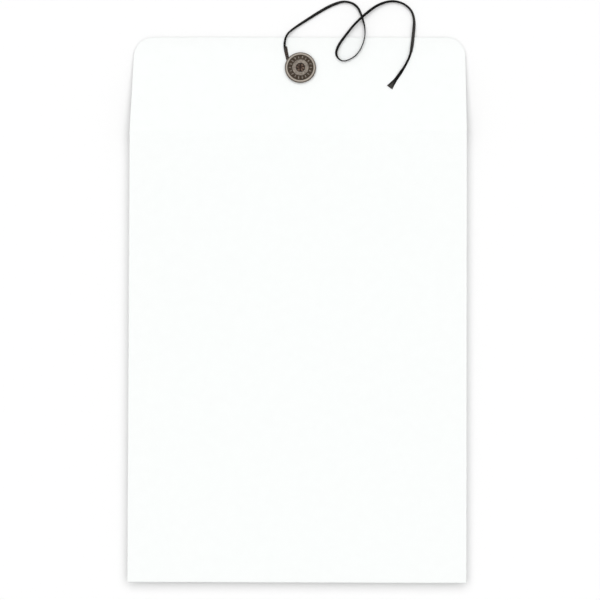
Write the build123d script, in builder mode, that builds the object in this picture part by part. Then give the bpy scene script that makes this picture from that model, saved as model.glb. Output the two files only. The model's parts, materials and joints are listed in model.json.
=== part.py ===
from build123d import *

import os
from math import acos, asin, atan2, cos, degrees, hypot, radians, sin, tan

# A string tie envelope for unfolded sheets, lying front side up with its closing flap laid open.
# It is folded from one paper blank with a centre seam on the back. A ring-topped tack button on the
# flap carries a flat string, and a second button on the back takes the string's turns when the flap
# is closed. Millimetres, +Z up, +Y from the closed end to the flap. The origin is under the middle
# of the envelope, on the surface that it lies on.

os.makedirs("parts", exist_ok=True)

# Paper body
width = 228.6  # across the side creases
body_length = 304.8  # bottom crease to the flap's fold
paper = 0.4
pocket_gap = 4.4  # clear height between front and back
fold_reach = 7.0  # from the flat back out to a crease, which is at the front's level
throat_depth = 13.0  # top edge of the back below the fold
seam_overlap = 25.0
bottom_flap_depth = 38.0
bottom_flap_taper = 17.0  # each side, from its fold to its free edge
bottom_flap_corner = 9.0
glue = 0.06
glue_margin = 3.0  # glue stops this far inside an edge
bottom_glue_width = 12.0

# Closing flap
flap_depth = 64.5
flap_shoulder = 0.1  # each side, from the side crease in to the flap's base
flap_taper = 2.0  # each side, from the flap's base to its free edge
flap_corner = 12.5
score_width = 4.0  # strip beside the fold that bends
closing_clearance = 0.3  # flap tack's head to the back when closed

# Buttons
button_offset = 1.4  # right of the centre line
flap_button_inset = 21.0  # below the flap's free edge
back_button_inset = 90.0  # below the fold
button_radius = 10.5
standoff = 1.1  # room under a button for the string
cap_height = 1.4
rim_width = 1.9
channel_width = 3.0
channel_depth = 0.5
collar_width = 2.4
cap_lip = 1.2  # rolled rim round the base plate
rim_bevel = 0.6
cap_chamfer = 0.3
base_thickness = 0.4
neck_radius = 3.0
tack_radius = 1.4
tack_head_radius = 5.5
tack_head = 0.6
tack_head_chamfer = 0.25
peen_radius = 2.5
peen_height = 0.5
peen_chamfer = 0.3
peen_slot_width = 0.4
peen_slot_depth = 0.2
bar_count = 18
bar_width = 0.9
bar_height = 0.25
bar_margin = 0.6  # between a bar's end and the channel's wall
patch_radius = 14.0
patch_thickness = 0.4
running_clearance = 0.05  # a button turning on its tack
hole_clearance = 0.15  # tack through paper

# String
string_width = 2.0
string_thickness = 0.6
string_rest = 0.3  # under the string where it lies
tip_length = 7.4
tip_width = 4.6
loop_width = 1.0
arc_share = 0.45  # of the shorter run beside a corner

# Levels, from the back button's face up. Each z is a panel's underside unless it says otherwise.
button_height = standoff + cap_height
right_back_z = button_height
bottom_flap_z = right_back_z - glue - paper
left_back_z = right_back_z + paper + glue
pocket_floor = left_back_z + paper
front_z = pocket_floor + pocket_gap

# The fold turns about an axis inside the envelope's thickness, so that the closed flap lies along
# the back, held off by its tack's head. At rest the open flap droops until its edge lies down.
closed_gap = patch_thickness + tack_head + closing_clearance
hinge_z = (front_z + right_back_z - closed_gap) / 2
hinge_radius = front_z - hinge_z
droop = asin(hinge_z / hypot(hinge_radius, flap_depth)) + atan2(hinge_radius, flap_depth)

# Lengthwise places
length = body_length + (hinge_radius + paper) * sin(droop) + flap_depth * cos(droop)
bottom_y = -length / 2
edge_y = length / 2
fold_y = bottom_y + body_length
throat_y = fold_y - throat_depth
panel_x = width / 2 - fold_reach
panel_y = bottom_y + fold_reach
back_button_y = fold_y - back_button_inset

# The flap's plane: x across, y from the fold to the free edge, z out of its outer face, which is
# the face turned up when it is open. Its inner face is at z = 0.
hinge_point = Vector(0, fold_y, hinge_z)
hinge_axis = Axis(hinge_point, (-1, 0, 0))
flap_normal = Vector(0, sin(droop), cos(droop))
flap_plane = Plane(hinge_point + flap_normal * hinge_radius, x_dir=(1, 0, 0), z_dir=flap_normal)
flap_button_s = flap_depth - flap_button_inset

# Button places: the origin is on the paper's outer face, and z is the button's axis.
flap_button_plane = Plane(
    flap_plane.from_local_coords((button_offset, flap_button_s, paper)),
    x_dir=(1, 0, 0),
    z_dir=flap_normal,
)
back_button_plane = Plane(
    (button_offset, back_button_y, right_back_z), x_dir=(1, 0, 0), z_dir=(0, 0, -1)
)


def fold_section(drop):
    """Section of a fold: paper that leaves a back panel and curves up to the crease under the front.

    The sketch's origin is above the panel's edge, level with the crease, and drop is the height from
    the panel's outer face up to it. The outer face is the arc that is tangent to the panel and ends
    at the crease.
    """
    radius = (fold_reach**2 + drop**2) / (2 * drop)
    outer_turn = degrees(2 * atan2(drop, fold_reach))
    inner_turn = degrees(acos((radius - drop) / (radius - paper)))
    with BuildLine() as band:
        outer = JernArc((0, -drop), (1, 0), radius, outer_turn)
        inner = JernArc((0, paper - drop), (1, 0), radius - paper, inner_turn)
        Line(outer @ 0, inner @ 0)
        Line(outer @ 1, inner @ 1)
    make_face(band.edges())


def mitre_plane(side):
    """Upright plane through a bottom corner, at 45 degrees. The side fold is on its positive side."""
    return Plane((side * width / 2, bottom_y, 0), z_dir=(side, 1, 0))


def flap_half_width(s):
    """Half the flap's width at the distance s from the fold."""
    return width / 2 - flap_shoulder - flap_taper * s / flap_depth


def flap_strip(s_start, s_end):
    """Outline of the flap between two distances from the fold."""
    low, high = flap_half_width(s_start), flap_half_width(s_end)
    with BuildLine() as strip:
        Polyline((-low, s_start), (low, s_start), (high, s_end), (-high, s_end), close=True)
    make_face(strip.edges())


def back_outline(x_left, x_right):
    """A back panel between two places across, from the bottom fold to the throat, with its tack hole."""
    with Locations((x_left, panel_y)):
        Rectangle(x_right - x_left, throat_y - panel_y, align=(Align.MIN, Align.MIN))
    with Locations((button_offset, back_button_y)):
        Circle(tack_radius + hole_clearance, mode=Mode.SUBTRACT)


def finish(piece, name):
    """Name a finished piece and write it."""
    piece.part.label = name
    export_step(piece.part, f"parts/{name}.step")


# Front panel
with BuildPart() as front_panel:
    with BuildSketch(Plane.XY.offset(front_z)):
        with Locations((0, bottom_y)):
            Rectangle(width, body_length, align=(Align.CENTER, Align.MIN))
    extrude(amount=paper)
finish(front_panel, "front_panel")

# Side folds, mitred into the bottom fold and cut on a slant from the fold to the throat
for name, side, back_z in (
    ("left_side_fold", -1, left_back_z),
    ("right_side_fold", 1, right_back_z),
):
    fold_plane = Plane((side * panel_x, fold_y, front_z), x_dir=(side, 0, 0), z_dir=(0, -side, 0))
    slant = Plane((0, fold_y, front_z), z_dir=(0, front_z - back_z, -throat_depth))
    with BuildPart() as side_fold:
        with BuildSketch(fold_plane):
            fold_section(front_z - back_z)
        extrude(amount=side * body_length)
        split(bisect_by=mitre_plane(side), keep=Keep.TOP)
        split(bisect_by=slant, keep=Keep.BOTTOM)
    finish(side_fold, name)

# Bottom fold
with BuildPart() as bottom_fold:
    with BuildSketch(Plane((0, panel_y, front_z), x_dir=(0, -1, 0), z_dir=(-1, 0, 0))):
        fold_section(front_z - bottom_flap_z)
    extrude(amount=width / 2, both=True)
    split(bisect_by=mitre_plane(1), keep=Keep.BOTTOM)
    split(bisect_by=mitre_plane(-1), keep=Keep.BOTTOM)
finish(bottom_fold, "bottom_fold")

# Back panels, which overlap at the centre seam
with BuildPart() as left_back_panel:
    with BuildSketch(Plane.XY.offset(left_back_z)):
        back_outline(-panel_x, seam_overlap / 2)
    extrude(amount=paper)
finish(left_back_panel, "left_back_panel")

with BuildPart() as right_back_panel:
    with BuildSketch(Plane.XY.offset(right_back_z)):
        back_outline(-seam_overlap / 2, panel_x)
    extrude(amount=paper)
finish(right_back_panel, "right_back_panel")

# Bottom flap, glued up over both back panels
bottom_flap_top = bottom_y + bottom_flap_depth
bottom_flap_tip_x = panel_x - bottom_flap_taper
with BuildPart() as bottom_flap:
    with BuildSketch(Plane.XY.offset(bottom_flap_z)) as bottom_flap_outline:
        with BuildLine():
            Polyline(
                (-panel_x, panel_y),
                (panel_x, panel_y),
                (bottom_flap_tip_x, bottom_flap_top),
                (-bottom_flap_tip_x, bottom_flap_top),
                close=True,
            )
        make_face()
        fillet(bottom_flap_outline.vertices().group_by(Axis.Y)[-1], bottom_flap_corner)
    extrude(amount=paper)
finish(bottom_flap, "bottom_flap")

# Glue lines
with BuildPart() as centre_seam_glue:
    with BuildSketch(Plane.XY.offset(right_back_z + paper)):
        with Locations((0, panel_y + glue_margin)):
            Rectangle(
                seam_overlap - 2 * glue_margin,
                throat_y - panel_y - 2 * glue_margin,
                align=(Align.CENTER, Align.MIN),
            )
        with Locations((button_offset, back_button_y)):
            Circle(tack_radius + hole_clearance, mode=Mode.SUBTRACT)
    extrude(amount=glue)
finish(centre_seam_glue, "centre_seam_glue")

# The bottom flap's glue is thicker on the left, where the flap bridges the step at the seam
bottom_glue_z = bottom_flap_z + paper
bottom_glue_y = bottom_flap_top - glue_margin - bottom_glue_width
bottom_glue_x = bottom_flap_tip_x - glue_margin
with BuildPart() as bottom_flap_glue:
    for x_left, x_right, top_z in (
        (-bottom_glue_x, -seam_overlap / 2, left_back_z),
        (-seam_overlap / 2, bottom_glue_x, right_back_z),
    ):
        with BuildSketch(Plane.XY.offset(bottom_glue_z)):
            with Locations((x_left, bottom_glue_y)):
                Rectangle(x_right - x_left, bottom_glue_width, align=(Align.MIN, Align.MIN))
        extrude(amount=top_z - bottom_glue_z)
finish(bottom_flap_glue, "bottom_flap_glue")

# Scored strip: a bend about the fold's axis, then the flap's first few millimetres
with BuildPart() as flap_crease:
    with BuildSketch(Plane((0, fold_y, front_z), x_dir=(1, 0, 0), z_dir=(0, -1, 0))):
        Rectangle(2 * flap_half_width(0), paper, align=(Align.CENTER, Align.MIN))
    revolve(axis=hinge_axis, revolution_arc=degrees(droop))
    with BuildSketch(flap_plane):
        flap_strip(0, score_width)
    extrude(amount=paper)
finish(flap_crease, "flap_crease")

# Closing flap
with BuildPart() as closing_flap:
    with BuildSketch(flap_plane) as flap_outline:
        flap_strip(score_width, flap_depth)
        fillet(flap_outline.vertices().group_by(Axis.Y)[-1], flap_corner)
        with Locations((button_offset, flap_button_s)):
            Circle(tack_radius + hole_clearance, mode=Mode.SUBTRACT)
    extrude(amount=paper)
finish(closing_flap, "closing_flap")

# Buttons. Heights are measured along a button's axis from the paper's outer face.
base_top = standoff + base_thickness
channel_outer = button_radius - rim_width
channel_inner = channel_outer - channel_width
recess_radius = channel_inner - collar_width
base_radius = button_radius - cap_lip
channel_floor = button_height - channel_depth
peen_top = base_top + running_clearance + peen_height
corner_align = (Align.MIN, Align.MIN)

for place, button_plane, layers in (
    ("flap", flap_button_plane, paper),
    ("back", back_button_plane, 2 * paper + glue),
):
    axis = Axis(button_plane.origin, button_plane.z_dir)
    section = Plane(
        button_plane.origin,
        x_dir=button_plane.x_dir,
        z_dir=button_plane.x_dir.cross(button_plane.z_dir),
    )
    stack = layers + patch_thickness

    # Reinforcing patch on the paper's inner face
    with BuildPart() as button_patch:
        with BuildSketch(button_plane.offset(-layers)):
            Circle(patch_radius)
            Circle(tack_radius + hole_clearance, mode=Mode.SUBTRACT)
        extrude(amount=-patch_thickness)
    finish(button_patch, f"{place}_patch")

    # Ring top: rim, sunk channel with a ring of plain bars, raised collar and open middle
    with BuildPart() as button_cap:
        with BuildSketch(section) as cap_section:
            with Locations((recess_radius, standoff)):
                Rectangle(button_radius - recess_radius, cap_height, align=corner_align)
                Rectangle(
                    base_radius - recess_radius,
                    base_thickness,
                    align=corner_align,
                    mode=Mode.SUBTRACT,
                )
            with Locations((channel_inner, channel_floor)):
                Rectangle(channel_width, channel_depth, align=corner_align, mode=Mode.SUBTRACT)
            top_corners = cap_section.vertices().group_by(Axis.Y)[-1].sort_by(Axis.X)
            chamfer(top_corners[1:-1], cap_chamfer)
            chamfer(top_corners[-1], rim_bevel)
        revolve(axis=axis)
        with BuildSketch(button_plane.offset(channel_floor)):
            with PolarLocations(channel_inner + channel_width / 2, bar_count):
                Rectangle(channel_width - 2 * bar_margin, bar_width)
        extrude(amount=bar_height)
    finish(button_cap, f"{place}_button_cap")

    # Base plate, held in the cap's rolled rim
    with BuildPart() as button_base:
        with BuildSketch(button_plane.offset(standoff)):
            Circle(base_radius)
            Circle(tack_radius + running_clearance, mode=Mode.SUBTRACT)
        extrude(amount=base_thickness)
    finish(button_base, f"{place}_button_base")

    # Neck under the base plate, which the string goes round
    with BuildPart() as button_neck:
        with BuildSketch(button_plane.offset(running_clearance)):
            Circle(neck_radius)
            Circle(tack_radius + running_clearance, mode=Mode.SUBTRACT)
        extrude(amount=standoff - running_clearance)
    finish(button_neck, f"{place}_button_neck")

    # Tack: flat head on the patch, shank through the neck, end peened over the base plate
    with BuildPart() as button_tack:
        with BuildSketch(section) as head_section:
            with Locations((0, -stack - tack_head)):
                Rectangle(tack_head_radius, tack_head, align=corner_align)
            lower_corner = head_section.vertices().group_by(Axis.Y)[0].sort_by(Axis.X)[-1]
            chamfer(lower_corner, tack_head_chamfer)
        revolve(axis=axis)
        with BuildSketch(button_plane.offset(-stack)):
            Circle(tack_radius)
        extrude(amount=stack + peen_top - peen_height)
        with BuildSketch(section) as peen_section:
            with Locations((0, peen_top - peen_height)):
                Rectangle(peen_radius, peen_height, align=corner_align)
            upper_corner = peen_section.vertices().group_by(Axis.Y)[-1].sort_by(Axis.X)[-1]
            chamfer(upper_corner, peen_chamfer)
        revolve(axis=axis)
        with BuildSketch(button_plane.offset(peen_top)):
            with PolarLocations(0, 2, angular_range=180):
                Rectangle(2 * peen_radius, peen_slot_width)
        extrude(amount=-peen_slot_depth, mode=Mode.SUBTRACT)
    finish(button_tack, f"{place}_button_tack")

# String. Its route is a list of places across, beyond the flap's free edge (negative on the flap)
# and above the string's usual height on what it lies on. It crosses over itself once.
string_route = [
    (-7.6, -17.0, 0.0),
    (-8.9, -10.8, 0.0),
    (-9.8, -4.6, 0.0),
    (-8.1, 1.8, 0.5),
    (-3.2, 6.6, 0.0),
    (5.0, 11.9, 0.0),
    (14.0, 17.7, 0.0),
    (23.0, 22.7, 0.0),
    (31.8, 25.4, 0.0),
    (39.7, 22.2, 0.0),
    (43.1, 14.5, 0.0),
    (45.2, 5.8, 0.15),
    (44.9, -2.8, 0.0),
    (41.2, -11.2, 0.0),
    (35.6, -15.6, 0.0),
    (29.4, -17.1, 0.0),
    (25.2, -12.2, 0.0),
    (26.9, -5.9, 0.6),
    (32.2, 1.6, 2.2),
    (38.8, 9.1, 3.5),
    (47.8, 17.4, 3.5),
    (55.0, 22.5, 2.2),
    (63.6, 25.4, 0.6),
    (71.2, 23.6, 0.0),
    (76.7, 18.9, 0.0),
    (78.7, 12.3, 0.0),
    (78.1, 4.1, 0.2),
    (77.3, -4.0, 0.0),
    (75.9, -11.8, 0.0),
    (72.4, -19.4, 0.0),
    (68.7, -25.3, 0.0),
    (66.4, -28.5, 0.0),
]
string_middle = string_rest + string_thickness / 2


def on_surface(x, reach, lift):
    """Point of the string's middle line, on the flap where reach is negative and else on the table."""
    if reach < 0:
        return flap_plane.from_local_coords((x, flap_depth + reach, paper + string_middle + lift))
    return Vector(x, edge_y + reach, string_middle + lift)


def corner_radii(points):
    """The radius of each corner's arc: a share of the shorter run over the tangent of half the turn."""
    radii = []
    for before, here, after in zip(points, points[1:], points[2:]):
        run_in, run_out = here - before, after - here
        half_turn = radians(run_in.get_angle(run_out)) / 2
        radii.append(arc_share * min(run_in.length, run_out.length) / tan(half_turn))
    return radii


string_points = [on_surface(*place) for place in string_route]
string_radii = corner_radii(string_points)
print("string radii", [round(radius, 1) for radius in string_radii])

with BuildPart() as string:
    with BuildLine():
        string_path = FilletPolyline(string_points, radius=string_radii)
    heading = string_path % 0
    with BuildSketch(Plane(string_path @ 0, x_dir=heading.cross(flap_normal), z_dir=heading)):
        Rectangle(string_width, string_thickness)
    sweep(path=string_path)
finish(string, "string")
string_length = string_path.length
print("string length", round(string_length, 1))
section_volume = string_width * string_thickness * string_length
print("volume over section times length", round(string.part.volume / section_volume, 3))

# Flared tip: the cut end of the flat string, spread out
with BuildPart() as string_tip:
    with BuildSketch(Plane(string_path @ 1, x_dir=string_path % 1, z_dir=flap_normal)):
        with BuildLine():
            Polyline(
                (0, -string_width / 2),
                (tip_length, -tip_width / 2),
                (tip_length, tip_width / 2),
                (0, string_width / 2),
                close=True,
            )
        make_face()
    extrude(amount=string_thickness / 2, both=True)
finish(string_tip, "string_tip")

# String loop: the string's folded end goes round the neck and comes back beside itself as a tail.
# Places are across and beyond the flap's free edge, as above.
loop_route = [
    (-7.6, -17.0),
    (-5.6, -20.9),
    (-2.5, -25.7),
    (2.7, -26.5),
    (6.5, -22.3),
    (4.7, -16.1),
    (-0.8, -15.6),
    (-6.3, -14.9),
    (-7.2, -10.9),
    (-7.9, -6.4),
]
loop_points = [Vector(x, flap_depth + reach) for x, reach in loop_route]
with BuildPart() as string_loop:
    with BuildSketch(flap_plane.offset(paper + string_rest)):
        with BuildLine():
            FilletPolyline(loop_points, radius=corner_radii(loop_points))
        trace(line_width=loop_width)
    extrude(amount=string_thickness)
finish(string_loop, "string_loop")
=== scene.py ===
"""String tie envelope: paper sheets, ring-topped tack buttons and a flat braided string.

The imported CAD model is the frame. Each piece drawn here stands for one or more of its nodes, in
metres, with +Z up, +Y from the closed end to the opened flap, and the table at z = 0.
"""

import json
from math import acos, pi, radians

import bmesh
import bpy
import numpy as np
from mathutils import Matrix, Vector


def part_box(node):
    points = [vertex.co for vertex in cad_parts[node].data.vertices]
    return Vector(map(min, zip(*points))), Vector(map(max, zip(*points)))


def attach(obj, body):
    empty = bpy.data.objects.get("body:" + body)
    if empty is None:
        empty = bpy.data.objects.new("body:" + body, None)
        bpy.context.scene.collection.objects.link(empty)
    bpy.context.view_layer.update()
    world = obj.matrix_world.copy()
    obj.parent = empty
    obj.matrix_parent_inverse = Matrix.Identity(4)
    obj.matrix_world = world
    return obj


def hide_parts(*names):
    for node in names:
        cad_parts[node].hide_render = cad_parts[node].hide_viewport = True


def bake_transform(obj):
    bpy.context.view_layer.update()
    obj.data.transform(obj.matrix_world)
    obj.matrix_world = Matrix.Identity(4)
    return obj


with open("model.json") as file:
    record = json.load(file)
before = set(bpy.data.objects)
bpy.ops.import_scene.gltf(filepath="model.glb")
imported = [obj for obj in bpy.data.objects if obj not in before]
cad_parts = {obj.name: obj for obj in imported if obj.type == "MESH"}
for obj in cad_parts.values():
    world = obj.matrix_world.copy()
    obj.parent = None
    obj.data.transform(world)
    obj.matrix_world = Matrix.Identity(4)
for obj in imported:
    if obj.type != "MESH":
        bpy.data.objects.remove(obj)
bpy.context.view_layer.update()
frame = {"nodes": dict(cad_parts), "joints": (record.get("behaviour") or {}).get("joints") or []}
MM = 0.001

# Sizes read from the frame
front_low, front_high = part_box("front_panel")
left_low, left_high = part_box("left_back_panel")
right_low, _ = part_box("right_back_panel")
wing_low, wing_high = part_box("bottom_flap")
_, flap_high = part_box("closing_flap")
_, crease_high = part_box("flap_crease")
joints = {joint["name"]: joint for joint in frame["joints"]}

half_width = front_high.x
bottom_y = front_low.y
fold_y = front_high.y
reach = half_width + left_low.x
paper = front_high.z - front_low.z
front_top = front_high.z
left_z = left_low.z
right_z = right_low.z
wing_z = wing_low.z
crease_z = front_low.z
throat_y = left_high.y
seam_half = left_high.x

hinge = np.array(joints["flap_fold"]["pos_m"])
flap_normal = np.array(joints["flap_button_turn"]["axis"])
flap_along = np.array([0.0, flap_normal[2], -flap_normal[1]])
droop = acos(flap_normal[2])
hinge_radius = front_top - hinge[2]
flap_start = hinge + hinge_radius * flap_normal
flap_base_half = crease_high.x
flap_depth = (flap_high.y - fold_y - hinge_radius * flap_normal[1]) / flap_normal[2]

# Paper sizes that the frame's boxes don't give
flap_taper = 2.0 * MM
flap_lean = 0.7 * MM
flap_corner = 12.5 * MM
score_width = 1.4 * MM
crease_round = 0.5 * MM
edge_curl = 1.4 * MM
curl_width = 12 * MM
wing_taper = 17 * MM
wing_corner = 9 * MM
wing_start = 1.2 * MM
paper_wave = 0.08 * MM
wave_numbers = ((31, 17), (13, -23))  # radians a metre, across and along
calm_edge = 30 * MM
calm_fold = 40 * MM

# Button sizes, with heights along its axis from the paper's outer face
button_radius = 10.6 * MM
button_height = 2.5 * MM
standoff = 1.1 * MM
base_top = 1.5 * MM
recess_radius = 3.2 * MM
collar_dome = 0.1 * MM
channel_inner = 5.6 * MM
channel_outer = 8.6 * MM
channel_depth = 0.5 * MM
rim_crest = 9.3 * MM
rim_roll = 0.85 * MM
skirt_round = 0.25 * MM
lip_width = 1.2 * MM
plate_radius = button_radius - lip_width
bar_count = 18
bar_half_length = 0.9 * MM
bar_half_width = 0.44 * MM
bar_height = 0.3 * MM
bar_soft = 0.16 * MM
neck_radius = 3.0 * MM
neck_fillet = 0.3 * MM
clearance = 0.05 * MM
bore_radius = 1.45 * MM
tack_radius = 1.4 * MM
peen_radius = 2.65 * MM
peen_top = 2.05 * MM
peen_crown = 0.4 * MM
petal_count = 6
cleft_depth = 0.12 * MM
pit_depth = 0.15 * MM
pit_half_width = 0.6 * MM
pit_half_length = 1.2 * MM
head_radius = 5.5 * MM
head_height = 0.6 * MM
head_dome = 0.03 * MM
head_edge = 0.4 * MM
head_round = 0.35 * MM
patch_radius = 14 * MM
patch_thickness = 0.4 * MM
patch_round = 0.15 * MM
patch_press = 0.06 * MM
press_margin = 1.2 * MM

# Shades on the ring top, from 0 for dark to 1 for worn bright
channel_shade = 0.2
collar_wear = 0.34
rim_wear = 0.84
# The next darkens the rim's outward slope as painted shade.
slope_painted_shade = 0.62
edge_lightening = 0.3
bar_wear = 0.3
underside_shade = 0.3
well_shade = 0.1

# String sizes
string_width = 2.2 * MM
string_thickness = 0.64 * MM
string_gap = 0.06 * MM
strand_width = 1.0 * MM
strand_thickness = 0.85 * MM
tip_width = 4.6 * MM
plait_pitch = 1.1 * MM


def smooth(low, high, value):
    """0 below low, 1 above high, and a smooth step between them."""
    t = np.clip((value - low) / (high - low), 0, 1)
    return t * t * (3 - 2 * t)


def joined(*runs):
    """Several runs of numbers end to end, each without its first number after the first run."""
    return np.concatenate([runs[0]] + [run[1:] for run in runs[1:]])


def quarter(width, steps):
    """Distances from an edge up to width, closer together near the edge: 1 less a cosine."""
    return width * (1 - np.cos(np.linspace(0, pi / 2, steps)))


def full_turn(steps):
    """Angles once round, without the last one, which is the first again."""
    return np.linspace(0, 2 * pi, steps, endpoint=False)


def unit(vectors):
    """Vectors of length 1."""
    return vectors / np.maximum(np.linalg.norm(vectors, axis=-1, keepdims=True), 1e-12)


class Surface:
    """Collects grids of points as one mesh, with UV places and one shade value for each point."""

    def __init__(self):
        self.points, self.faces, self.places, self.shades, self.count = [], [], [], [], 0

    def add(self, grid, place=None, shade=0.0, closed=False):
        """Add a (rows, columns, 3) grid. A closed grid joins its last column to its first."""
        rows, columns = grid.shape[:2]
        index = self.count + np.arange(rows * columns).reshape(rows, columns)
        if closed:
            index = np.concatenate([index, index[:, :1]], axis=1)
        corners = (index[:-1, :-1], index[:-1, 1:], index[1:, 1:], index[1:, :-1])
        place = np.zeros((rows, columns, 2)) if place is None else place
        self.faces.append(np.stack(corners, axis=-1).reshape(-1, 4))
        self.points.append(grid.reshape(-1, 3))
        self.places.append(place.reshape(-1, 2))
        self.shades.append(np.broadcast_to(shade, (rows, columns)).reshape(-1))
        self.count += rows * columns
        return self

    def build(self, name, material, solid=True):
        """Make the object. A solid one has its seams and poles merged and its faces outwards."""
        mesh = bpy.data.meshes.new(name)
        mesh.from_pydata(np.concatenate(self.points), [], np.concatenate(self.faces).tolist())
        mesh.polygons.foreach_set("use_smooth", np.ones(len(mesh.polygons), bool))
        corner = np.empty(len(mesh.loops), np.int32)
        mesh.loops.foreach_get("vertex_index", corner)
        places = np.concatenate(self.places)[corner]
        layer = mesh.uv_layers.new(name="place")
        layer.data.foreach_set("uv", places.astype(np.float32).ravel())
        shade = mesh.attributes.new("shade", "FLOAT", "POINT")
        shade.data.foreach_set("value", np.concatenate(self.shades).astype(np.float32))
        mesh.update()
        if solid:
            shape = bmesh.new()
            shape.from_mesh(mesh)
            bmesh.ops.remove_doubles(shape, verts=shape.verts, dist=0.0002 * MM)
            bmesh.ops.recalc_face_normals(shape, faces=shape.faces)
            shape.to_mesh(mesh)
            shape.free()
            mesh.set_sharp_from_angle(angle=radians(60))
        piece = bpy.data.objects.new(name, mesh)
        bpy.context.scene.collection.objects.link(piece)
        piece.data.materials.append(material)
        return piece


def declare(piece, slot, body, *nodes):
    """Hide the nodes that a piece stands for and let it ride on the body. The slot is not used."""
    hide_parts(*nodes)
    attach(piece, body)


class Field:
    """A number or vector in a node tree, with the usual arithmetic."""

    def __init__(self, tree, socket):
        self.tree, self.socket = tree, socket

    def node(self, kind, settings, *inputs):
        """Add a node with its settings and inputs in order, and give it back."""
        node = self.tree.nodes.new(kind)
        for name, value in settings.items():
            setattr(node, name, value)
        for socket, value in zip(node.inputs, inputs):
            if isinstance(value, Field):
                self.tree.links.new(value.socket, socket)
            elif value is not None:
                socket.default_value = value
        return node

    def math(self, operation, *inputs):
        """Arithmetic on numbers."""
        node = self.node("ShaderNodeMath", {"operation": operation}, *inputs)
        return Field(self.tree, node.outputs[0])

    def __add__(self, other):
        return self.math("ADD", self, other)

    __radd__ = __add__

    def __sub__(self, other):
        return self.math("SUBTRACT", self, other)

    def __rsub__(self, other):
        return self.math("SUBTRACT", other, self)

    def __mul__(self, other):
        return self.math("MULTIPLY", self, other)

    __rmul__ = __mul__

    def sine(self):
        """Sine of the number, in radians."""
        return self.math("SINE", self)

    def size(self):
        """The number without its sign."""
        return self.math("ABSOLUTE", self)

    def under(self, limit):
        """1 where the number is less than limit, else 0."""
        return self.math("LESS_THAN", self, limit)

    def largest(self, *others):
        """The largest of this number and others."""
        result = self
        for other in others:
            result = self.math("MAXIMUM", result, other)
        return result

    def step(self, low, high):
        """0 below low, 1 above high, and a smooth step between them."""
        settings = {"interpolation_type": "SMOOTHSTEP"}
        node = self.node("ShaderNodeMapRange", settings, self, low, high)
        return Field(self.tree, node.outputs[0])

    def part(self, axis):
        """One part of a vector."""
        return Field(self.tree, self.node("ShaderNodeSeparateXYZ", {}, self).outputs[axis])

    def noise(self, scale, detail=2.0, stretch=(1, 1, 1)):
        """Noise at this place, about 0 to 1, with scale in features a metre."""
        stretched = self.node("ShaderNodeVectorMath", {"operation": "MULTIPLY"}, self, stretch)
        place = Field(self.tree, stretched.outputs[0])
        node = self.node("ShaderNodeTexNoise", {}, place, None, scale, detail)
        return Field(self.tree, node.outputs[0])

    def colours(self, low, high):
        """A colour between two, by this number."""
        node = self.tree.nodes.new("ShaderNodeMix")
        node.data_type = "RGBA"
        self.tree.links.new(self.socket, node.inputs[0])
        for socket, value in ((node.inputs[6], low), (node.inputs[7], high)):
            if isinstance(value, Field):
                self.tree.links.new(value.socket, socket)
            else:
                socket.default_value = (*value, 1)
        return Field(self.tree, node.outputs[2])


def read(tree, kind, output, **settings):
    """A value that a node tree starts from."""
    node = tree.nodes.new(kind)
    for name, value in settings.items():
        setattr(node, name, value)
    return Field(tree, node.outputs[output])


def ray(tree, kind):
    """A fact about the ray that meets the surface."""
    return read(tree, "ShaderNodeLightPath", kind)


def seen_ray(tree):
    """1 for what the eye meets, also in a reflection or through glass, else 0."""
    kinds = "Is Camera Ray", "Is Glossy Ray", "Is Transmission Ray"
    eye, mirror, glass = (ray(tree, kind) for kind in kinds)
    return eye.largest(mirror, glass)


class Finish:
    """A procedural material on one Principled shader."""

    def __init__(self, name, **constants):
        self.material = bpy.data.materials.new(name)
        self.material.use_nodes = True
        self.tree = self.material.node_tree
        self.shader = self.tree.nodes["Principled BSDF"]
        for socket, value in constants.items():
            self.shader.inputs[socket.replace("_", " ")].default_value = value

    def object_place(self):
        """The point's place in the row frame."""
        return read(self.tree, "ShaderNodeTexCoord", "Object")

    def shade(self):
        """The piece's own shade value at the point."""
        return read(self.tree, "ShaderNodeAttribute", "Fac", attribute_name="shade")

    def set(self, socket, field):
        """Feed one of the shader's inputs."""
        self.tree.links.new(field.socket, self.shader.inputs[socket])

    def bump(self, height, distance):
        """Relief from a height between 0 and 1 that stands for distance metres."""
        node = self.tree.nodes.new("ShaderNodeBump")
        node.inputs["Strength"].default_value = 1.0
        node.inputs["Distance"].default_value = distance
        self.tree.links.new(height.socket, node.inputs["Height"])
        self.tree.links.new(node.outputs[0], self.shader.inputs["Normal"])


def colour(red, green, blue):
    """A screen colour, 0 to 255, as the shader's linear one."""
    value = np.array([red, green, blue]) / 255
    return tuple(np.where(value <= 0.04045, value / 12.92, ((value + 0.055) / 1.055) ** 2.4))


def paper_finish(name, pale, dark):
    """Uncoated paper: faint cloudy formation, short fibres along +Y and a fine tooth.

    The colour goes from pale to dark by 0.6 of a coarse noise and 0.4 of a fine drawn-out one.
    """
    finish = Finish(name, Roughness=0.8, Specular_IOR_Level=0.15)
    place = finish.object_place()
    cloud = place.noise(140, 3).step(0.35, 0.7)
    fibre = place.noise(900, 2, (1, 0.25, 1)).step(0.62, 0.72)
    finish.set("Base Color", (cloud * 0.6 + fibre * 0.4).colours(pale, dark))
    tooth = place.noise(2600, 3) * 0.6 + place.noise(500, 2, (1, 0.3, 1)) * 0.4
    finish.bump(tooth, 0.004 * MM)
    return finish.material


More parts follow.
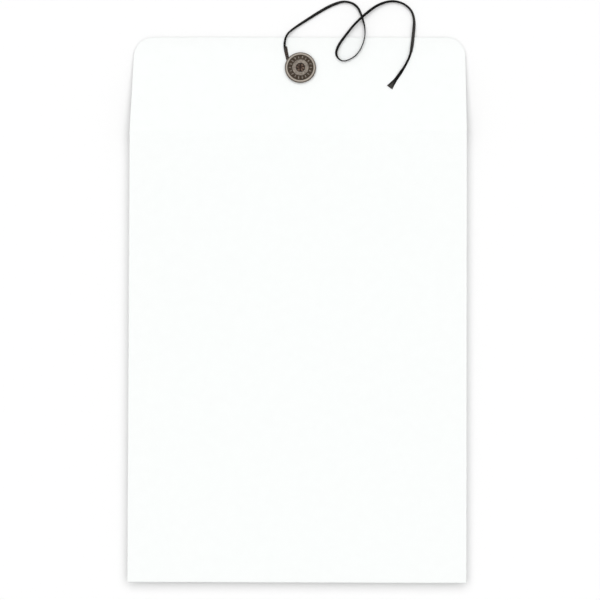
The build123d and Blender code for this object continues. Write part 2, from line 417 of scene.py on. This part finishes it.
def metal_finish(name, low, high, metallic, roughness):
    """Antiqued metal: dark and dull where the piece's shade is low, worn bright where it is high.

    A noise moves the shade up and down by a tenth, as grime does.
    """
    finish = Finish(name, Metallic=metallic)
    place = finish.object_place()
    grime = place.noise(900, 4).step(0.3, 0.7)
    # The piece's shade holds wear and patina, and on the ring top's slope painted shade as well.
    wear_and_painted_light = finish.shade() + (grime - 0.5) * 0.2
    finish.set("Base Color", wear_and_painted_light.step(0.1, 0.9).colours(low, high))
    finish.set("Roughness", roughness + (1 - wear_and_painted_light.step(0.2, 0.8)) * 0.3)
    finish.bump(place.noise(1500, 3), 0.03 * MM)
    return finish.material


def string_finish(name, dark, pale, frayed):
    """Flat braid: plaits in a herringbone, with painted sheen on their backs and along the middle.

    A plait is half of 1 plus the sine of the way along, one turn a pitch, that lags outwards. The
    braid is paler where the piece's shade is higher, and past 0.6 it goes over to the frayed
    colour.
    """
    finish = Finish(name, Roughness=0.75, Specular_IOR_Level=0.12)
    place = read(finish.tree, "ShaderNodeUVMap", "UV", uv_map="place")
    along, across = place.part(0), place.part(1)
    plait = (along * (2 * pi / plait_pitch) + across.size() * 5.0).sine() * 0.5 + 0.5
    middle = 1 - across.size().step(0.1, 0.75)
    fuzz = finish.object_place().noise(3500, 2)
    # The braid is paler by the piece's shade, by a painted sheen along the middle and by a painted
    # highlight on the plaits' backs.
    wear_and_painted_light = finish.shade() + middle * 0.3 + plait * 0.16 + (fuzz - 0.5) * 0.4
    braid = wear_and_painted_light.step(0.15, 1.0).colours(dark, pale)
    finish.set("Base Color", finish.shade().step(0.6, 1.8).colours(braid, frayed))
    finish.bump(plait * 0.7 + fuzz * 0.3, 0.05 * MM)
    return finish.material


white_paper = paper_finish("white_paper", colour(252.5, 254.5, 253.5), colour(251, 253, 252))
glue_line = paper_finish("glue_line", colour(238, 236, 226), colour(228, 225, 212))
cap_metal = metal_finish("cap_metal", colour(62, 51, 40), colour(143, 135, 126), 0.75, 0.36)
base_metal = metal_finish("base_metal", colour(46, 38, 33), colour(105, 96, 86), 0.7, 0.4)
tack_metal = metal_finish("tack_metal", colour(46, 32, 25), colour(135, 114, 99), 0.7, 0.4)
black_string = string_finish(
    "black_string", colour(12, 11.5, 11), colour(67, 65, 63), colour(72, 62, 57)
)


def rise(drop, inset):
    """How far paper has risen from its panel, at the distance inset from a crease drop above it.

    The paper leaves the panel on the arc that is tangent to it and ends at the crease.
    """
    radius = (reach**2 + drop**2) / (2 * drop)
    t = np.clip(reach - inset, 0, reach)
    return radius - np.sqrt(np.maximum(radius**2 - t**2, 0))


def rounding(inset):
    """How far the front has turned down at the distance inset from a crease: a quarter round."""
    t = np.clip(crease_round - inset, 0, crease_round)
    return crease_round - np.sqrt(crease_round**2 - t**2)


def curl(s):
    """How far the open flap curls up from its plane, at the distance s from the fold.

    It grows as the square of the way through the last curl_width before the free edge.
    """
    return edge_curl * np.clip((s - flap_depth + curl_width) / curl_width, 0, 1) ** 2


def paper_shell(outer):
    """A sheet of paper from the grid of its outer face: that face, the inner one and the cut edges.

    The inner face lies one thickness behind, along the normal, which is the cross product of the
    grid's two gradients. A strip on each of the four sides joins the faces.
    """
    normal = unit(np.cross(np.gradient(outer, axis=1), np.gradient(outer, axis=0)))
    inner = outer - paper * normal
    surface = Surface().add(outer).add(inner[:, ::-1])
    for a, b in (
        (outer[0], inner[0]),
        (inner[-1], outer[-1]),
        (inner[:, 0], outer[:, 0]),
        (outer[:, -1], inner[:, -1]),
    ):
        surface.add(np.stack([a, b]))
    return surface


def flap_half_width(s):
    """Half the flap's width at the distance s from the fold: a taper less quarter-round corners."""
    half = flap_base_half - flap_taper * s / flap_depth
    past = np.clip(s - (flap_depth - flap_corner), 0, flap_corner)
    return half - (flap_corner - np.sqrt(flap_corner**2 - past**2))


def front_sheet():
    """The front panel and the closing flap, one sheet that bends at the fold.

    Rows run from the bottom crease to the flap's free edge. Each row has a place on the sheet's
    middle, an upward direction there, half the sheet's width and how far its sides are creased.
    Columns run across, the outermost ones close together over the creases. The face falls in a
    quarter round at the creases, and elsewhere it waves by a product of two slanted sines, which
    die out towards the edges and the fold. The flap's free edge leans a little to the right.
    """
    edge = quarter(crease_round, 8)
    body = bottom_y + joined(edge, np.linspace(crease_round, fold_y - bottom_y, 60))
    turn = np.linspace(0, droop, 8)[1:]
    s = joined(
        np.linspace(0, score_width, 10),
        np.linspace(score_width, flap_depth - flap_corner, 28),
        flap_depth - flap_corner * (1 - np.sin(np.linspace(0, pi / 2, 24))),
    )[1:]

    body_place = np.stack([0 * body, body, 0 * body + front_top], axis=-1)
    body_up = np.tile([0.0, 0.0, 1.0], (len(body), 1))
    turn_up = np.stack([0 * turn, np.sin(turn), np.cos(turn)], axis=-1)
    flap_place = flap_start + s[:, None] * flap_along + curl(s)[:, None] * flap_normal
    flap_up = np.tile(flap_normal, (len(s), 1))
    middle = np.concatenate([body_place, hinge + hinge_radius * turn_up, flap_place])
    upward = np.concatenate([body_up, turn_up, flap_up])
    half = np.concatenate([0 * body + half_width, 0 * turn + flap_base_half, flap_half_width(s)])
    lean = np.concatenate([0 * body, 0 * turn, flap_lean * s / flap_depth])
    creased = np.concatenate([0 * body + 1, np.linspace(1, 0, len(turn)), 0 * s])
    from_bottom = np.concatenate([body - bottom_y, 0 * turn + 1, 0 * s + 1])

    inner_share = np.linspace(-1, 1, 72)[1:-1]
    ends = np.ones(len(edge))
    share = np.concatenate([-ends, inner_share, ends])
    side_inset = np.concatenate([edge, 0 * inner_share + crease_round, edge[::-1]])
    inset = side_inset[None, :] + (half[:, None] - crease_round) * (1 - np.abs(share))[None, :]
    x = lean[:, None] + np.sign(share)[None, :] * (half[:, None] - inset)
    y = middle[:, 1:2]
    depth = np.maximum(rounding(inset) * creased[:, None], rounding(from_bottom)[:, None])
    calm = smooth(0, calm_edge, inset) * smooth(0, calm_fold, np.abs(y - fold_y))
    first, second = (np.sin(x * by_x + y * by_y) for by_x, by_y in wave_numbers)
    wave = paper_wave * first * second * calm
    across = np.zeros(x.shape + (3,))
    across[..., 0] = x
    outer = middle[:, None, :] + across + (wave - depth)[..., None] * upward[:, None, :]
    piece = paper_shell(outer).build("front_sheet", white_paper)
    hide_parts("front_panel", "flap_crease", "closing_flap")
    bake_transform(piece)


def back_wing(name, side, back_z, *nodes):
    """A back panel with its side fold.

    Columns are insets from the side crease and rows are shares of the way from the mitre at the
    bottom to the top edge, which slants up to the fold as the paper rises. The height is the
    panel's plus the rise at the nearer of the side crease and the bottom crease.
    """
    drop = crease_z - back_z
    inset = joined(quarter(reach, 24), np.linspace(reach, half_width + seam_half, 60))
    start = bottom_y + np.minimum(inset, wing_start)
    end = throat_y + (fold_y - throat_y) * rise(drop, inset) / drop
    low, high = 0.02, 0.94
    share = joined(np.linspace(0, low, 10), np.linspace(low, high, 40), np.linspace(high, 1, 14))
    y = start + share[:, None] * (end - start)
    z = back_z + rise(drop, np.minimum(inset[None, :], y - bottom_y))
    x = np.broadcast_to(side * (half_width - inset), y.shape)
    outer = np.stack([x, y, z], axis=-1)
    piece = paper_shell(outer[:, ::side]).build(name, white_paper)
    declare(piece, "paper", "envelope", *nodes)


def bottom_wing():
    """The bottom flap with the bottom fold.

    Rows are insets from the bottom crease. Half the width shrinks by the inset in the fold, which
    mitres it into the side folds, then by the taper, and by a quarter round at its corners. The
    height is the panel's plus the rise at the inset.
    """
    depth = wing_high.y - bottom_y
    straight = depth - wing_corner
    inset = joined(
        quarter(reach, 24),
        np.linspace(reach, straight, 14),
        straight + wing_corner * np.sin(np.linspace(0, pi / 2, 14)),
    )
    past = np.clip(inset - straight, 0, wing_corner)
    taper = wing_taper * np.clip(inset - reach, 0, None) / (depth - reach)
    half = half_width - np.minimum(inset, reach) - taper
    half = half - (wing_corner - np.sqrt(wing_corner**2 - past**2))
    z = wing_z + rise(crease_z - wing_z, inset)
    x = half[:, None] * np.linspace(-1, 1, 61)[None, :]
    y = np.broadcast_to((bottom_y + inset)[:, None], x.shape)
    outer = np.stack([x, y, np.broadcast_to(z[:, None], x.shape)], axis=-1)
    piece = paper_shell(outer[:, ::-1]).build("bottom_wing", white_paper)
    declare(piece, "paper", "envelope", "bottom_flap", "bottom_fold")


def around(place, axis, radius, height, segments):
    """Points at these radii and heights round an axis through place, in columns once round it.

    A column points along +X times its angle's cosine plus the axis crossed with +X times its sine.
    """
    angle = full_turn(segments)[:, None]
    side = np.array([1.0, 0.0, 0.0])
    outward = np.cos(angle) * side + np.sin(angle) * np.cross(axis, side)
    return place + radius[..., None] * outward + height[..., None] * axis


def turned(surface, profile, place, axis, shade, segments):
    """Add a profile of (radius, height) pairs, turned about an axis through place."""
    profile = np.asarray(profile)
    grid = around(place, axis, profile[:, :1], profile[:, 1:], segments)
    return surface.add(grid, shade=np.reshape(shade, (-1, 1)), closed=True)


def arc(centre, radius, start, end, steps):
    """Points of an arc in a profile, with its angles in degrees."""
    angle = np.radians(np.linspace(start, end, steps))
    return [(centre[0] + radius * np.cos(a), centre[1] + radius * np.sin(a)) for a in angle]


def cap_face(radius):
    """Height and shade of the ring top's upper face at a distance from its axis.

    The rim is a crest that falls in a quarter ellipse to its outer edge, the channel is flat, and
    the collar is a low parabolic dome round the open middle, with smooth steps between them. Shade
    is dark in the channel, grey on the collar, worn bright on the rim's crest, darker on its slope
    as painted shade, and lighter again at its very edge.
    """
    inward, rim_step, collar_step = 0.15 * MM, 0.5 * MM, 0.4 * MM
    rim = smooth(channel_outer - inward, channel_outer + rim_step, radius)
    collar = 1 - smooth(channel_inner - inward, channel_inner + collar_step, radius)
    outward = np.clip((radius - rim_crest) / (button_radius - rim_crest), 0, 1)
    roll = rim_roll * (1 - np.sqrt(1 - outward**2))
    collar_middle = (recess_radius + channel_inner) / 2
    from_top = (radius - collar_middle) / ((channel_inner - recess_radius) / 2)
    dome = collar_dome * np.clip(from_top, -1, 1) ** 2 * collar
    height = button_height - channel_depth * (1 - np.maximum(rim, collar)) - roll - dome
    # The rim's slope is darkened by painted shade, and is lighter again at its very edge.
    slope = slope_painted_shade * smooth(0.2, 0.6, outward) - edge_lightening * smooth(0.75, 1, outward)
    shade = channel_shade + collar_wear * collar + rim * (rim_wear - slope)
    return height, shade


def ring_top(place, axis, where):
    """The stamped cap: its upper face with a ring of plain bars, its rolled rim and open middle.

    The face's height and shade go once round the axis. A bar is a soft box on it: a smooth step at
    its half width of the distance along the arc, times one at its half length along the radius. A
    turned skirt and well close the cap below.
    """
    segments = bar_count * 24
    fine, inside = 0.3 * MM, 0.4 * MM
    rim_fall = (button_radius - channel_outer - fine) * np.cos(np.linspace(0, pi / 2, 18))
    radius = joined(
        np.linspace(recess_radius, channel_inner - inside, 10),
        np.linspace(channel_inner - inside, channel_inner + fine, 12),
        np.linspace(channel_inner + fine, channel_outer - fine, 26),
        np.linspace(channel_outer - fine, channel_outer + fine, 12),
        button_radius - rim_fall,
    )[:, None]
    height, shade = (np.tile(values, segments) for values in cap_face(radius))
    phase = (full_turn(segments) * bar_count / (2 * pi) + 0.5) % 1 - 0.5
    along_arc = phase[None, :] * (2 * pi / bar_count) * radius
    from_middle = radius - (channel_inner + channel_outer) / 2
    bar = smooth(-bar_soft, bar_soft, bar_half_width - np.abs(along_arc))
    bar = bar * smooth(-bar_soft, bar_soft, bar_half_length - np.abs(from_middle))
    height += bar_height * bar
    shade += bar_wear * bar
    grid = around(place, axis, radius, height, segments)
    surface = Surface().add(grid, shade=shade, closed=True)

    skirt = [(button_radius, button_height - rim_roll), (button_radius, standoff + skirt_round)]
    skirt += arc((button_radius - skirt_round, standoff + skirt_round), skirt_round, 0, -90, 6)
    skirt += [(plate_radius, standoff), (plate_radius, base_top)]
    skirt_shade = np.linspace(shade[-1, 0], underside_shade, len(skirt))
    turned(surface, skirt, place, axis, skirt_shade, segments)
    well = [(plate_radius, base_top), (recess_radius, base_top), (recess_radius, height[0, 0])]
    turned(surface, well, place, axis, [underside_shade, well_shade, shade[0, 0]], segments)
    piece = surface.build(f"{where}_button_ring", cap_metal)
    declare(piece, "cap_metal", f"{where}_button", f"{where}_button_cap")


def base_and_neck(place, axis, where):
    """The base plate in the cap's rim, and the neck under it that the string goes round.

    One turned profile: the plate, a quarter-round fillet, the neck, which ends a clearance above
    the paper, and the bore.
    """
    fillet_radius = neck_radius + neck_fillet
    plate = [(bore_radius, base_top), (plate_radius, base_top), (plate_radius, standoff)]
    plate += [(fillet_radius, standoff)]
    plate += arc((fillet_radius, standoff - neck_fillet), neck_fillet, 90, 180, 5)
    plate += [(neck_radius, 2 * clearance), (neck_radius - clearance, clearance)]
    plate += [(bore_radius, clearance), (bore_radius, base_top)]
    surface = turned(Surface(), plate, place, axis, 0.35, 160)
    piece = surface.build(f"{where}_button_plate", base_metal)
    nodes = f"{where}_button_base", f"{where}_button_neck"
    declare(piece, "base_metal", f"{where}_button", *nodes)


def tack(place, axis, where, stack, carrier):
    """The tack: a low domed head on the patch, its shank, and its end split and spread in petals.

    Head and shank are a turned profile. The end is a disc whose radius swings with the cosine of
    petal_count times the angle, unevenly. It falls to its edge by a root of 1 less a fourth power,
    with clefts between the petals and a long Gaussian pit in the middle.
    """
    segments = 180
    low = -stack - head_height
    seat = base_top + clearance
    head = [(0.0, low), (head_radius * 0.6, low + head_dome)]
    head += arc((head_radius - head_round, low + head_edge), head_round, -80, 0, 6)
    head += [(head_radius, -stack), (tack_radius, -stack), (tack_radius, seat)]
    surface = turned(Surface(), head, place, axis, 0.7, segments)

    angle = full_turn(segments)
    edge = 0.8 + 0.2 * np.sin(np.linspace(0, pi / 2, 8))
    share = joined(np.linspace(0.0, 0.8, 14), edge)[:, None]
    petal = np.cos(petal_count * angle + 0.6 + 0.7 * np.sin(2 * angle + 1))
    swing = 0.11 * petal + 0.04 * np.cos(2 * angle + 0.8)
    radius = peen_radius * share * (1 + swing * share**2)
    cleft = smooth(0.2, 0.8, -petal) * smooth(0.25, 0.7, share)
    across, along = radius * np.cos(angle), radius * np.sin(angle)
    pit = np.exp(-((across / pit_half_width) ** 2) - (along / pit_half_length) ** 2)
    crown = peen_crown * (1 - np.sqrt(1 - np.minimum(share, 0.999) ** 4))
    height = peen_top - crown - cleft_depth * cleft - pit_depth * pit
    # The clefts and the pit are painted darker, as the shade that falls into them.
    shade = 0.37 + 0.1 * share - 0.36 * cleft - 0.4 * pit
    radius = np.concatenate([radius, np.full((1, segments), tack_radius)])
    height = np.concatenate([height, np.full((1, segments), seat)])
    shade = np.concatenate([shade, shade[-1:]])
    surface.add(around(place, axis, radius, height, segments), shade=shade, closed=True)
    piece = surface.build(f"{where}_button_nail", tack_metal)
    declare(piece, "tack_metal", carrier, f"{where}_button_tack")


def patch(place, axis, where, layers, carrier):
    """The reinforcing patch: a paper disc, pressed in under the tack's head.

    One turned profile, with a quarter round at the cut edge.
    """
    inner, outer = -layers, -layers - patch_thickness
    pressed = outer + patch_press
    disc = [(tack_radius, inner), (patch_radius, inner)]
    disc += arc((patch_radius - patch_round, outer + patch_round), patch_round, 0, -90, 5)
    disc += [(head_radius + press_margin, outer), (head_radius, pressed)]
    disc += [(tack_radius, pressed), (tack_radius, inner)]
    piece = turned(Surface(), disc, place, axis, 0.0, 200).build(f"{where}_disc", white_paper)
    declare(piece, "paper", carrier, f"{where}_patch")


def button(where, layers, carrier):
    """One tack button with its patch, through paper layers thick of the body named carrier."""
    joint = joints[f"{where}_button_turn"]
    place, axis = np.array(joint["pos_m"]), np.array(joint["axis"], float)
    ring_top(place, axis, where)
    base_and_neck(place, axis, where)
    tack(place, axis, where, layers + patch_thickness, carrier)
    patch(place, axis, where, layers, carrier)


# The string's route in millimetres, close to the CAD model's: across, beyond the flap's free edge
# (negative on the flap), above where it would lie, and its tilt in degrees, 0 flat and 90 on edge
string_route = [
    (-7.3, -17.0, 0.0, 0),
    (-8.8, -10.8, 0.0, 20),
    (-9.8, -4.6, 0.2, 44),
    (-8.3, 2.0, 1.7, 56),
    (-3.2, 6.6, 0.0, 47),
    (5.0, 11.9, 0.0, 34),
    (14.0, 17.7, 0.0, 22),
    (23.0, 22.7, 0.0, 22),
    (31.8, 25.4, 0.0, 48),
    (39.7, 22.2, 0.0, 45),
    (43.1, 14.5, 0.0, 55),
    (45.4, 5.8, 1.2, 76),
    (44.7, -2.7, 0.6, 90),
    (40.8, -10.9, 0.0, 90),
    (35.4, -15.2, 0.0, 90),
    (29.4, -16.9, 0.0, 90),
    (25.0, -12.3, 0.0, 52),
    (26.8, -5.8, 0.5, 38),
    (32.1, 1.7, 1.8, 42),
    (38.3, 9.6, 2.2, 46),
    (47.4, 17.8, 1.9, 34),
    (54.7, 23.0, 0.9, 38),
    (63.6, 25.5, 0.2, 45),
    (71.2, 23.6, 0.0, 52),
    (76.7, 18.9, 0.0, 50),
    (78.7, 12.3, 0.0, 44),
    (78.1, 4.1, 1.7, 20),
    (77.3, -4.0, 0.5, 12),
    (76.1, -11.8, 0.0, 55),
    (72.6, -19.4, 0.0, 56),
    (68.7, -25.3, 0.0, 24),
    (66.4, -28.5, 0.0, 0),
]
tip_end = (61.9, -34.5)
loop_route = [
    (-7.3, -17.0),
    (-5.6, -20.9),
    (-2.5, -25.7),
    (2.7, -26.5),
    (6.5, -22.3),
    (4.7, -16.1),
    (-0.8, -15.6),
    (-6.4, -16.0),
    (-7.2, -12.4),
    (-7.8, -9.2),
    (-8.4, -6.1),
]

# The string's shade along its route: the place, counted in route points, and the shade there.
# It has the frayed colour at the start, a painted highlight from 25 to 27 where the flat face
# meets the light, and darker stretches from 20 to 22 and from 29 on.
frayed_shade = 1.5
string_fray_and_painted_light = [
    (0, frayed_shade),
    (1, frayed_shade),
    (1.8, 0.05),
    (18, 0.05),
    (20, -0.2),
    (22, -0.2),
    (25, 0.4),
    (27, 0.4),
    (29, -0.25),
]


def on_surface(x, beyond, lift):
    """A point in metres, from millimetres across and beyond the flap's free edge.

    It is lift metres above what is there, the flap or the table.
    """
    if beyond >= 0:
        return np.array([x * MM, flap_high.y + beyond * MM, lift])
    s = flap_depth + beyond * MM
    across = np.array([x * MM, 0, 0])
    return across + flap_start + s * flap_along + (curl(s) + lift) * flap_normal


def spline_points(points):
    """Points along a smooth curve that has these as its control points."""
    curve = bpy.data.curves.new("route", "CURVE")
    curve.dimensions = "3D"
    spline = curve.splines.new("NURBS")
    spline.points.add(len(points) - 1)
    spline.points.foreach_set("co", np.c_[np.array(points), np.ones(len(points))].ravel())
    spline.order_u = 3
    spline.use_endpoint_u = True
    spline.resolution_u = 14
    holder = bpy.data.objects.new("route", curve)
    bpy.context.scene.collection.objects.link(holder)
    bpy.context.view_layer.update()
    mesh = bpy.data.meshes.new_from_object(holder)
    line = np.empty(len(mesh.vertices) * 3)
    mesh.vertices.foreach_get("co", line)
    bpy.data.objects.remove(holder)
    bpy.data.meshes.remove(mesh)
    return line.reshape(-1, 3)


def run_lengths(line):
    """Distance along a line of points, from its start."""
    return np.concatenate([[0], np.cumsum(np.linalg.norm(np.diff(line, axis=0), axis=1))])


def tape(line, width, thickness, tilt, shade):
    """A flat string along a line, closed at both ends.

    The section is a superellipse, whose cosine is taken to the power 0.7 across and whose sine to
    0.8 through it. Its broad direction is the level one across the line, turned by tilt.
    """
    along = run_lengths(line)
    heading = unit(np.gradient(line, along, axis=0))
    level = unit(np.cross(heading, [0, 0, 1]))
    upward = np.cross(level, heading)
    c, s = np.cos(tilt)[:, None], np.sin(tilt)[:, None]
    broad, thin = c * level + s * upward, c * upward - s * level
    turn = full_turn(20)
    section_x = np.sign(np.cos(turn)) * np.abs(np.cos(turn)) ** 0.7
    section_y = np.sign(np.sin(turn)) * np.abs(np.sin(turn)) ** 0.8
    out = (width / 2)[:, None, None] * section_x[None, :, None] * broad[:, None, :]
    up = (thickness / 2)[:, None, None] * section_y[None, :, None] * thin[:, None, :]
    grid = line[:, None, :] + out + up
    place = np.stack(np.broadcast_arrays(along[:, None], section_x[None, :]), axis=-1)
    surface = Surface().add(grid, place=place, shade=shade[:, None], closed=True)
    for end in (0, -1):
        cap = np.stack([grid[end], np.broadcast_to(line[end], grid[end].shape)])
        surface.add(cap, place=np.stack([place[end]] * 2), shade=shade[end], closed=True)
    return surface


def string():
    """The string: the free stretch, the flared tip, and a loop round the button's neck with a tail.

    The free stretch starts as a gathered strand and flattens over its first three route points. It
    lies half its tilted section's height above what is under it. Width, thickness, tilt and shade
    are drawn out evenly between the route points.
    """
    route = np.array(string_route)
    order = np.arange(len(route))
    tilt_at = np.radians(route[:, 3])
    gathered = np.interp(order, [0, 3], [1, 0])
    width_at = string_width + (strand_width - string_width) * gathered
    thick_at = string_thickness + (strand_thickness - string_thickness) * gathered
    half_height = (width_at * np.sin(tilt_at) + thick_at * np.cos(tilt_at)) / 2
    lift_at = route[:, 2] * MM + half_height + string_gap
    line = spline_points([on_surface(*point) for point in zip(route[:, 0], route[:, 1], lift_at)])
    last = len(route) - 1
    span = np.linspace(0, last - 1, len(line))
    index = np.interp(span, [0, 1, last - 2, last - 1], [0, 1.5, last - 1.5, last])
    tilt, width, thickness = (np.interp(index, order, at) for at in (tilt_at, width_at, thick_at))
    wear_and_painted_light = np.interp(index, *np.array(string_fray_and_painted_light).T)
    free = tape(line, width, thickness, tilt, wear_and_painted_light).build("string_free", black_string)

    share = np.linspace(0, 1, 16)
    tip_line = line[-1] + share[:, None] * (on_surface(*tip_end, string_thickness / 2) - line[-1])
    spread = width[-1] + (tip_width - width[-1]) * share**1.3
    flat = thickness[-1] * (1 - 0.35 * share)
    tip = tape(tip_line, spread, flat, tilt[-1] * (1 - share), 1.05 * share - 0.25)
    tip = tip.build("string_end", black_string)

    loop_lift = strand_thickness / 2 + string_gap
    loop_line = spline_points([on_surface(x, beyond, loop_lift) for x, beyond in loop_route])
    same = np.ones(len(loop_line))
    tail_shade = frayed_shade * smooth(0.66, 0.8, np.linspace(0, 1, len(loop_line)))
    loop = tape(loop_line, same * strand_width, same * strand_thickness, 0 * same, tail_shade)
    loop = loop.build("string_noose", black_string)
    declare(free, "string", "flap", "string")
    declare(tip, "string", "flap", "string_tip")
    declare(loop, "string", "flap", "string_loop")


def table_top():
    """The white table: it takes shadows, and can be looked through from below.

    It lets the first rays pass that leave what the eye meets, so that the back is lit from below
    and the shadows on the table stay.
    """
    extent = 60.0
    white, bounced, glow = 0.99, 0.5, 0.012
    across = np.linspace(-extent, extent, 2)
    level = np.zeros((2, 2))
    grid = np.stack(np.broadcast_arrays(across[None, :], across[:, None], level), axis=-1)
    finish = Finish("table_white", Roughness=1.0, Specular_IOR_Level=0.0, Emission_Strength=1.0)
    tree = finish.tree
    seen = seen_ray(tree)
    finish.set("Base Color", seen.colours([bounced] * 3, [white] * 3))
    finish.set("Emission Color", seen.colours([0] * 3, [glow] * 3))
    passing = read(tree, "ShaderNodeNewGeometry", "Backfacing").largest(
        ray(tree, "Is Shadow Ray") * ray(tree, "Diffuse Depth").under(0.5),
        ray(tree, "Is Diffuse Ray") * ray(tree, "Diffuse Depth").under(1.5),
        ray(tree, "Is Glossy Ray") * ray(tree, "Ray Depth").under(1.5),
    )
    mix = tree.nodes.new("ShaderNodeMixShader")
    clear = tree.nodes.new("ShaderNodeBsdfTransparent")
    tree.links.new(passing.socket, mix.inputs[0])
    tree.links.new(finish.shader.outputs[0], mix.inputs[1])
    tree.links.new(clear.outputs[0], mix.inputs[2])
    tree.links.new(mix.outputs[0], tree.nodes["Material Output"].inputs[0])
    Surface().add(grid).build("table", finish.material, solid=False)


def lighting():
    """A white surround and a broad soft lamp nearly straight above.

    The surround's strength is the largest of three: its light from above, its light from below,
    and the backdrop, which the eye and reflections meet. The lamp leans a little towards the top
    of the picture and to the right.
    """
    above, below, backdrop = 0.4, 0.95, 0.6
    world = bpy.data.worlds.new("surround")
    bpy.context.scene.world = world
    world.use_nodes = True
    tree = world.node_tree
    height = read(tree, "ShaderNodeTexCoord", "Generated").part(2)
    strength = (height.under(0.0) * below).largest(seen_ray(tree) * backdrop, above)
    back = tree.nodes["Background"]
    back.inputs["Color"].default_value = (1, 1, 1, 1)
    tree.links.new(strength.socket, back.inputs["Strength"])
    data = bpy.data.lights.new("key", "SUN")
    data.angle = radians(80)
    data.energy = 1.913
    key = bpy.data.objects.new("key", data)
    bpy.context.scene.collection.objects.link(key)
    key.rotation_euler = (radians(-9), radians(1.2), 0)


def camera():
    """A long lens nearly straight above, a little below the middle and to the right of it."""
    distance = 3.0
    pixel = 0.6773 * MM
    picture_side = 600 * pixel
    data = bpy.data.cameras.new("camera")
    data.sensor_width = 36
    data.lens = data.sensor_width * distance / picture_side
    piece = bpy.data.objects.new("camera", data)
    bpy.context.scene.collection.objects.link(piece)
    piece.location = (80.9 * MM, -144.2 * MM, 2996.3 * MM)
    piece.rotation_euler = (radians(2.88), radians(1.51), radians(0.175))
    bpy.context.scene.camera = piece


front_sheet()
back_wing("left_wing", -1, left_z, "left_back_panel", "left_side_fold")
back_wing("right_wing", 1, right_z, "right_back_panel", "right_side_fold")
bottom_wing()
button("flap", paper, "flap")
button("back", left_z + paper - right_z, "envelope")
string()
for node in ("centre_seam_glue", "bottom_flap_glue"):
    frame["nodes"][node].data.materials.clear()
    frame["nodes"][node].data.materials.append(glue_line)
table_top()
lighting()
camera()
bpy.context.scene.view_settings.view_transform = "Standard"
